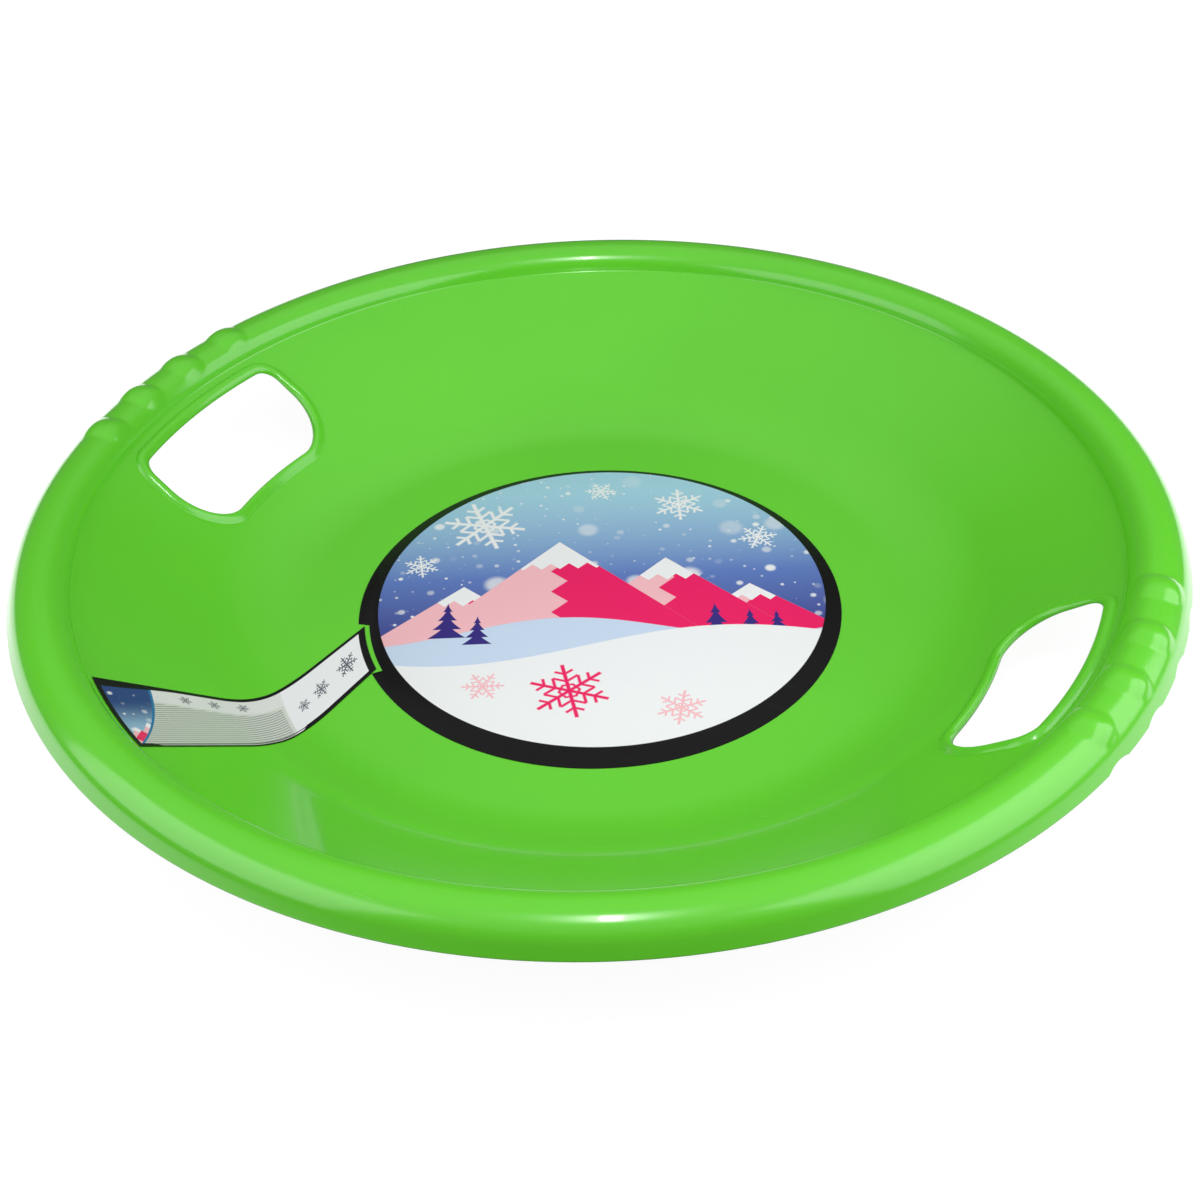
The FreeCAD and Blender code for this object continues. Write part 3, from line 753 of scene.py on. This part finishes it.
# The label's print, from its start, its end and its two long edges
LABEL_WHITE = (0.78, 0.79, 0.81, 1)
LABEL_FIELD = (0.68, 0.70, 0.68, 1)
LABEL_BLOCK = (0.60, 0.64, 0.58, 1)
LABEL_RULES = (0.18, 0.21, 0.19, 1)
LABEL_INK = (0.06, 0.07, 0.10, 1)
FIELD_START = 64.0
BLOCK_TOP = 13.0
RULE_PITCH = 0.9
LABEL_FLAKES = ((17, 18, 8.0, 0.2), (38, 20, 6.0, 0.2), (52, 22, 4.5, 0.2),
                (88, 8, 3.6, 0.2), (104, 8, 3.6, 0.2), (120, 8, 3.6, 0.2))
PANEL_LENGTH = 28.0
PANEL_BOW = 0.008
PANEL_RIM = (0.02, 0.16, 0.36, 1)
PANEL_LOW = (0.30, 0.50, 0.66, 1)
PANEL_HIGH = (0.025, 0.06, 0.20, 1)
PANEL_FADE = (10.0, 40.0)
PANEL_SNOWFALL = ((8.0, 0.3),)
PANEL_PEAKS = ((16, 21, 1.3, 6), (7, 17, 1.4, 5))
BORDER_START = 5.0
BORDER_END = 2.6
BORDER_UPPER = 2.5
BORDER_WEDGE = 6.5
BORDER_LOWER = 2.7
BORDER_THIN = 0.8
WEDGE_RUN = (45.0, 0.0)
LOWER_START_RUN = (56.0, 60.0)
LOWER_END_RUN = (16.0, 8.0)
HAIRLINE_PLACE = 1.9
HAIRLINE_HALF = 0.3


def dress(tree, shader, base, roughness, height, strength, depth, gloss):
    """Links a shader's colour, roughness and relief, and sets its gloss."""
    relief = add(tree, "ShaderNodeBump", {"Height": height, "Strength": strength, "Distance": depth})
    tree.links.new(base, shader.inputs["Base Color"])
    tree.links.new(roughness, shader.inputs["Roughness"])
    tree.links.new(relief.outputs[0], shader.inputs["Normal"])
    for name, value in gloss.items():
        shader.inputs[name].default_value = value


def green_plastic_material(marks):
    """Glossy moulded plastic with a slight orange peel, a long soft wave and faint scratches."""
    material, tree, shader = new_material("green_plastic")
    place = add(tree, "ShaderNodeTexCoord").outputs["Object"]
    worn = use(tree, marks, vector=place, density=1.0)
    tint = over(tree, ramp(tree, worn["Cloud"], 0.3, 0.7), GREEN_DEEP, GREEN_LIGHT)
    scuffed = over(tree, calc(tree, "MULTIPLY", worn["Scratches"], 0.05), tint, GREEN_SCUFFED)
    roughness = calc(tree, "ADD", ramp(tree, worn["Cloud"], *CLOUD_RANGE, *GREEN_ROUGHNESS),
                     calc(tree, "MULTIPLY", worn["Scratches"], 0.08))
    peel = add(tree, "ShaderNodeTexNoise", {"Vector": place, "Scale": 420.0, "Detail": 2.0})
    wave = add(tree, "ShaderNodeTexNoise", {"Vector": place, "Scale": 26.0, "Detail": 1.0})
    grain = calc(tree, "MULTIPLY", peel.outputs["Fac"], 0.02)
    groove = calc(tree, "MULTIPLY", worn["Scratches"], 0.03)
    height = calc(tree, "ADD", grain, calc(tree, "SUBTRACT", wave.outputs["Fac"], groove))
    dress(tree, shader, scuffed, roughness, height, 0.25, 0.4 * MM, GREEN_GLOSS)
    return material


def lay_snowfall(tree, picture, snowfall, plan, rows):
    for spacing, size in rows:
        dots = use(tree, snowfall, vector=plan, spacing=spacing, size=size)["Mask"]
        picture = over(tree, dots, picture, PRINT_WHITE)
    return picture


def lay_flakes(tree, picture, snowflake, x, y, flakes, ink):
    for across, up, size, turn in flakes:
        mask = use(tree, snowflake, x=x, y=y, across=across, up=up, size=size, turn=turn)["Mask"]
        picture = over(tree, mask, picture, ink)
    return picture


def lay_peaks(tree, picture, peak, x, y, peaks):
    for across, top, slope, cap in peaks:
        masks = use(tree, peak, x=x, y=y, across=across, top=top, slope=slope, cap=cap)
        for side, ink in (("Rock", PRINT_PINK), ("Shade", PRINT_MAGENTA), ("Snow", PRINT_WHITE)):
            picture = over(tree, masks[side], picture, ink)
    return picture


def lay_hill(tree, picture, x, y, ink, stretch, shift, swell, drop):
    """Ground below a rolling line."""
    roll = calc(tree, "SINE", calc(tree, "ADD", calc(tree, "DIVIDE", x, stretch), shift))
    line = calc(tree, "SUBTRACT", calc(tree, "MULTIPLY", roll, swell), drop)
    return over(tree, ramp(tree, calc(tree, "SUBTRACT", line, y), -0.3, 0.3), picture, ink)


def lay_scratches(tree, picture, worn):
    return over(tree, calc(tree, "MULTIPLY", worn["Scratches"], 0.1), picture, PRINT_WHITE)


def decal_film_material(marks, snowflake, peak, fir, snowfall):
    """A print that is upright from the camera's side: winter sky, peaks, firs, snow hills and flakes."""
    material, tree, shader = new_material("decal_film")
    place = add(tree, "ShaderNodeTexCoord").outputs["Object"]
    plan = add(tree, "ShaderNodeMapping", {"Vector": place, "Scale": (1000, 1000, 1000),
                                           "Rotation": (0, 0, math.radians(-VIEW_AZIMUTH)),
                                           "Location": (-PRINT_CENTRE[0], -PRINT_CENTRE[1], 0)}).outputs[0]
    axes = add(tree, "ShaderNodeSeparateXYZ", {"Vector": plan})
    x, y = axes.outputs["X"], axes.outputs["Y"]

    sky = add(tree, "ShaderNodeValToRGB", {"Fac": ramp(tree, y, -SKY_SPAN, SKY_SPAN)})
    stops = sky.color_ramp.elements
    stops[0].position = 0.25
    stops[0].color = PRINT_INDIGO
    stops[1].position = 0.97
    stops[1].color = SKY_PALE
    stops.new(0.62).color = SKY_BLUE
    picture = lay_snowfall(tree, sky.outputs["Color"], snowfall, plan, SNOWFALL)
    picture = lay_flakes(tree, picture, snowflake, x, y, SKY_FLAKES, PRINT_WHITE)
    picture = lay_peaks(tree, picture, peak, x, y, PEAKS)
    picture = lay_hill(tree, picture, x, y, HILL_SHADE, **FAR_HILL)
    for across, foot, height in FIRS:
        mask = use(tree, fir, x=x, y=y, across=across, foot=foot, height=height)["Mask"]
        picture = over(tree, mask, picture, PRINT_INDIGO)
    picture = lay_hill(tree, picture, x, y, PRINT_WHITE, **NEAR_HILL)
    picture = lay_flakes(tree, picture, snowflake, x, y, MAGENTA_FLAKES, PRINT_MAGENTA)
    picture = lay_flakes(tree, picture, snowflake, x, y, PINK_FLAKES, PRINT_PINK)

    border = ramp(tree, length_of(tree, x, y), PRINT_RADIUS - 0.2, PRINT_RADIUS + 0.2)
    picture = over(tree, border, picture, PRINT_BLACK)
    worn = use(tree, marks, vector=place, density=1.0)
    roughness = calc(tree, "ADD", ramp(tree, worn["Cloud"], *CLOUD_RANGE, *DECAL_ROUGHNESS),
                     calc(tree, "MULTIPLY", worn["Scratches"], 0.15))
    wave = add(tree, "ShaderNodeTexNoise", {"Vector": place, "Scale": 45.0, "Detail": 2.0})
    picture = lay_scratches(tree, picture, worn)
    dress(tree, shader, picture, roughness, wave.outputs["Fac"], 0.15, 0.3 * MM, FILM_GLOSS)
    return material


def label_film_material(marks, snowflake, peak, snowfall):
    """A print along the film: black border, ruled pale field and a blue end panel."""
    material, tree, shader = new_material("label_film")
    edges = []
    for name in ("from_start", "from_end"):
        flat = add(tree, "ShaderNodeUVMap", uv_map=name)
        inputs = {0: flat.outputs[0], "Scale": PRINT_SPAN / MM}
        edges.append(add(tree, "ShaderNodeVectorMath", inputs, operation="SCALE").outputs[0])
    near_axes = add(tree, "ShaderNodeSeparateXYZ", {"Vector": edges[0]})
    far_axes = add(tree, "ShaderNodeSeparateXYZ", {"Vector": edges[1]})
    left, start = near_axes.outputs["X"], near_axes.outputs["Y"]
    right, end = far_axes.outputs["X"], far_axes.outputs["Y"]

    picture = over(tree, ramp(tree, start, FIELD_START - 0.5, FIELD_START), LABEL_WHITE, LABEL_FIELD)
    block = calc(tree, "MULTIPLY", ramp(tree, start, FIELD_START, FIELD_START + 0.5),
                 ramp(tree, left, BLOCK_TOP, BLOCK_TOP + 0.5))
    picture = over(tree, block, picture, LABEL_BLOCK)
    rule = ramp(tree, calc(tree, "PINGPONG", right, RULE_PITCH), 0.42, 0.58)
    ruled = calc(tree, "MULTIPLY", rule, ramp(tree, start, FIELD_START + 2.0, FIELD_START + 2.5))
    ruled = calc(tree, "MULTIPLY", ruled, ramp(tree, left, BLOCK_TOP + 1.5, BLOCK_TOP + 2.0))
    picture = over(tree, calc(tree, "MULTIPLY", ruled, 0.75), picture, LABEL_RULES)
    picture = lay_flakes(tree, picture, snowflake, start, left, LABEL_FLAKES, LABEL_INK)

    bow = calc(tree, "MULTIPLY", calc(tree, "POWER", left, 2.0), PANEL_BOW)
    panel_edge = calc(tree, "SUBTRACT", calc(tree, "ADD", end, bow), PANEL_LENGTH)
    picture = over(tree, ramp(tree, panel_edge, 1.6, 1.2), picture, PANEL_RIM)
    panel = over(tree, ramp(tree, right, *PANEL_FADE), PANEL_LOW, PANEL_HIGH)
    panel = lay_snowfall(tree, panel, snowfall, edges[1], PANEL_SNOWFALL)
    panel = lay_peaks(tree, panel, peak, end, right, PANEL_PEAKS)
    picture = over(tree, ramp(tree, panel_edge, 0.2, -0.2), picture, panel)

    upper = calc(tree, "SUBTRACT", left, ramp(tree, end, *WEDGE_RUN, BORDER_UPPER, BORDER_WEDGE))
    lower_width = calc(tree, "MAXIMUM", ramp(tree, start, *LOWER_START_RUN, BORDER_LOWER, BORDER_THIN),
                       ramp(tree, end, *LOWER_END_RUN, BORDER_THIN, BORDER_LOWER))
    lower = calc(tree, "SUBTRACT", right, lower_width)
    ends = calc(tree, "MINIMUM", calc(tree, "SUBTRACT", start, BORDER_START),
                calc(tree, "SUBTRACT", end, BORDER_END))
    inside = calc(tree, "MINIMUM", calc(tree, "MINIMUM", upper, lower), ends)
    from_hairline = calc(tree, "ABSOLUTE", calc(tree, "SUBTRACT", right, HAIRLINE_PLACE))
    hairline = calc(tree, "SUBTRACT", from_hairline, HAIRLINE_HALF)
    border = ramp(tree, calc(tree, "MINIMUM", inside, hairline), 0.15, -0.15)
    picture = over(tree, border, picture, PRINT_BLACK)
    place = add(tree, "ShaderNodeTexCoord").outputs["Object"]
    worn = use(tree, marks, vector=place, density=1.0)
    roughness = ramp(tree, worn["Cloud"], *CLOUD_RANGE, *LABEL_ROUGHNESS)
    wave = add(tree, "ShaderNodeTexNoise", {"Vector": place, "Scale": 60.0, "Detail": 2.0})
    picture = lay_scratches(tree, picture, worn)
    dress(tree, shader, picture, roughness, wave.outputs["Fac"], 0.2, 0.4 * MM, FILM_GLOSS)
    return material


# Stage, light and camera

FLOOR_SIZE = 14
FLOOR_TONE = (0.12, 0.12, 0.12, 1)
# The floor's own light: distances from the sled and the levels there
GLOW_REACH = (0.35, 0.9)
GLOW_LEVELS = (0.94, 1.0)
# Painted reflection: a glow on the floor that only glossy rays see, in bands to the sled's left and right;
# distances aside, its levels there, and the distances over which it fades
REFLECTION_GLOW_ASIDE = (0.14, 0.34)
REFLECTION_GLOW_LEVELS = (0.05, 1.35)
REFLECTION_GLOW_FADE = (1.1, 0.6)
# Level of the room's light at heights from the horizon, 0, to straight up, 1
SKY_LEVELS = ((0.0, 0.17), (0.35, 0.13), (0.50, 0.13), (0.78, 0.57), (1.0, 0.60))
# Each lamp's azimuth, elevation, distance, width, height and power
LAMPS = {
    "right_softbox": (12, 33, 1.0, 1.3, 0.92, 7.5),
    "left_softbox": (232.6, 30, 1.05, 1.05, 0.75, 4.6),
    "front_strip": (-60.4, 67, 1.16, 0.05, 0.34, 2.5),
}


def floor_glow(tree):
    """White for the camera and clear pieces; for glossy rays a painted reflection, bright bands of glow on
    the floor to the sled's left and right.
    """
    path = add(tree, "ShaderNodeLightPath").outputs
    place = add(tree, "ShaderNodeTexCoord").outputs["Object"]
    turn = (0, 0, math.radians(-VIEW_AZIMUTH))
    turned = add(tree, "ShaderNodeMapping", {"Vector": place, "Rotation": turn})
    aside = add(tree, "ShaderNodeSeparateXYZ", {"Vector": turned.outputs[0]}).outputs["X"]
    away = add(tree, "ShaderNodeVectorMath", {0: place}, operation="LENGTH").outputs["Value"]
    # Painted reflection: bright bands on the floor beside the sled, seen by glossy rays only
    painted_reflection = calc(tree, "MULTIPLY", ramp(tree, calc(tree, "ABSOLUTE", aside), *REFLECTION_GLOW_ASIDE, *REFLECTION_GLOW_LEVELS),
                ramp(tree, away, *REFLECTION_GLOW_FADE))
    seen = calc(tree, "MAXIMUM", path["Is Camera Ray"], path["Is Transmission Ray"])
    white = calc(tree, "MULTIPLY", seen, ramp(tree, away, *GLOW_REACH, *GLOW_LEVELS))
    return calc(tree, "ADD", white, calc(tree, "MULTIPLY", path["Is Glossy Ray"], painted_reflection))


def make_floor():
    """A wide pale floor that looks white and still takes the sled's shadow."""
    bpy.ops.object.select_all(action="DESELECT")
    bpy.ops.mesh.primitive_plane_add(size=FLOOR_SIZE)
    floor = bpy.context.object
    floor.name = "studio_floor"
    material = bpy.data.materials.new("white_floor")
    material.use_nodes = True
    tree = material.node_tree
    tree.nodes.clear()
    matt = add(tree, "ShaderNodeBsdfDiffuse", {"Color": FLOOR_TONE})
    white = add(tree, "ShaderNodeEmission", {"Color": (1, 1, 1, 1), "Strength": floor_glow(tree)})
    both = add(tree, "ShaderNodeAddShader", {0: matt.outputs[0], 1: white.outputs[0]})
    add(tree, "ShaderNodeOutputMaterial", {"Surface": both.outputs[0]})
    floor.data.materials.append(material)


def light_world():
    """Soft room light: dim round the horizon, bright overhead, white where the camera sees it."""
    world = bpy.data.worlds.new("studio")
    bpy.context.scene.world = world
    world.use_nodes = True
    tree = world.node_tree
    tree.nodes.clear()
    direction = add(tree, "ShaderNodeTexCoord").outputs["Generated"]
    rise = add(tree, "ShaderNodeSeparateXYZ", {"Vector": direction}).outputs["Z"]
    sky = add(tree, "ShaderNodeValToRGB", {"Fac": rise})
    stops = sky.color_ramp.elements
    for position, level in SKY_LEVELS:
        stop = stops[0] if position == 0.0 else stops[-1] if position == 1.0 else stops.new(position)
        stop.color = (level, level, level, 1)
    path = add(tree, "ShaderNodeLightPath").outputs
    tone = over(tree, path["Is Camera Ray"], sky.outputs["Color"], (1, 1, 1, 1))
    back = add(tree, "ShaderNodeBackground", {"Color": tone, "Strength": 1.0})
    add(tree, "ShaderNodeOutputWorld", {"Surface": back.outputs[0]})


def add_softbox(name, azimuth, elevation, distance, width, height, power):
    """A rectangular lamp that faces the sled."""
    lamp = bpy.data.lights.new(name, "AREA")
    lamp.shape = "RECTANGLE"
    lamp.size = width
    lamp.size_y = height
    lamp.energy = power
    box = bpy.data.objects.new(name, lamp)
    bpy.context.scene.collection.objects.link(box)
    plan = polar(distance * math.cos(math.radians(elevation)), azimuth)
    box.location = (plan.x, plan.y, distance * math.sin(math.radians(elevation)))
    box.rotation_euler = (CAMERA_TARGET - box.location).to_track_quat("-Z", "Y").to_euler()
    box.visible_camera = False


def light_scene():
    light_world()
    for name, settings in LAMPS.items():
        add_softbox(name, *settings)


def place_camera():
    lens = bpy.data.cameras.new("camera")
    lens.lens = CAMERA_LENS
    lens.sensor_width = CAMERA_SENSOR
    lens.shift_x, lens.shift_y = CAMERA_SHIFT
    camera = bpy.data.objects.new("camera", lens)
    bpy.context.scene.collection.objects.link(camera)
    camera.location = CAMERA_PLACE
    aim = (CAMERA_TARGET - CAMERA_PLACE).to_track_quat("-Z", "Y")
    roll = Quaternion((0, 0, 1), math.radians(CAMERA_ROLL))
    camera.rotation_euler = (aim @ roll).to_euler()
    bpy.context.scene.camera = camera


def build():
    marks = handling_marks_group()
    snowflake = snowflake_group()
    peak = peak_group()
    fir = fir_group()
    snowfall = snowfall_group()
    make_dish(green_plastic_material(marks))
    make_decal(decal_film_material(marks, snowflake, peak, fir, snowfall))
    make_label(label_film_material(marks, snowflake, peak, snowfall))
    make_floor()
    light_scene()
    place_camera()
    bpy.context.scene.view_settings.view_transform = "Standard"


build()
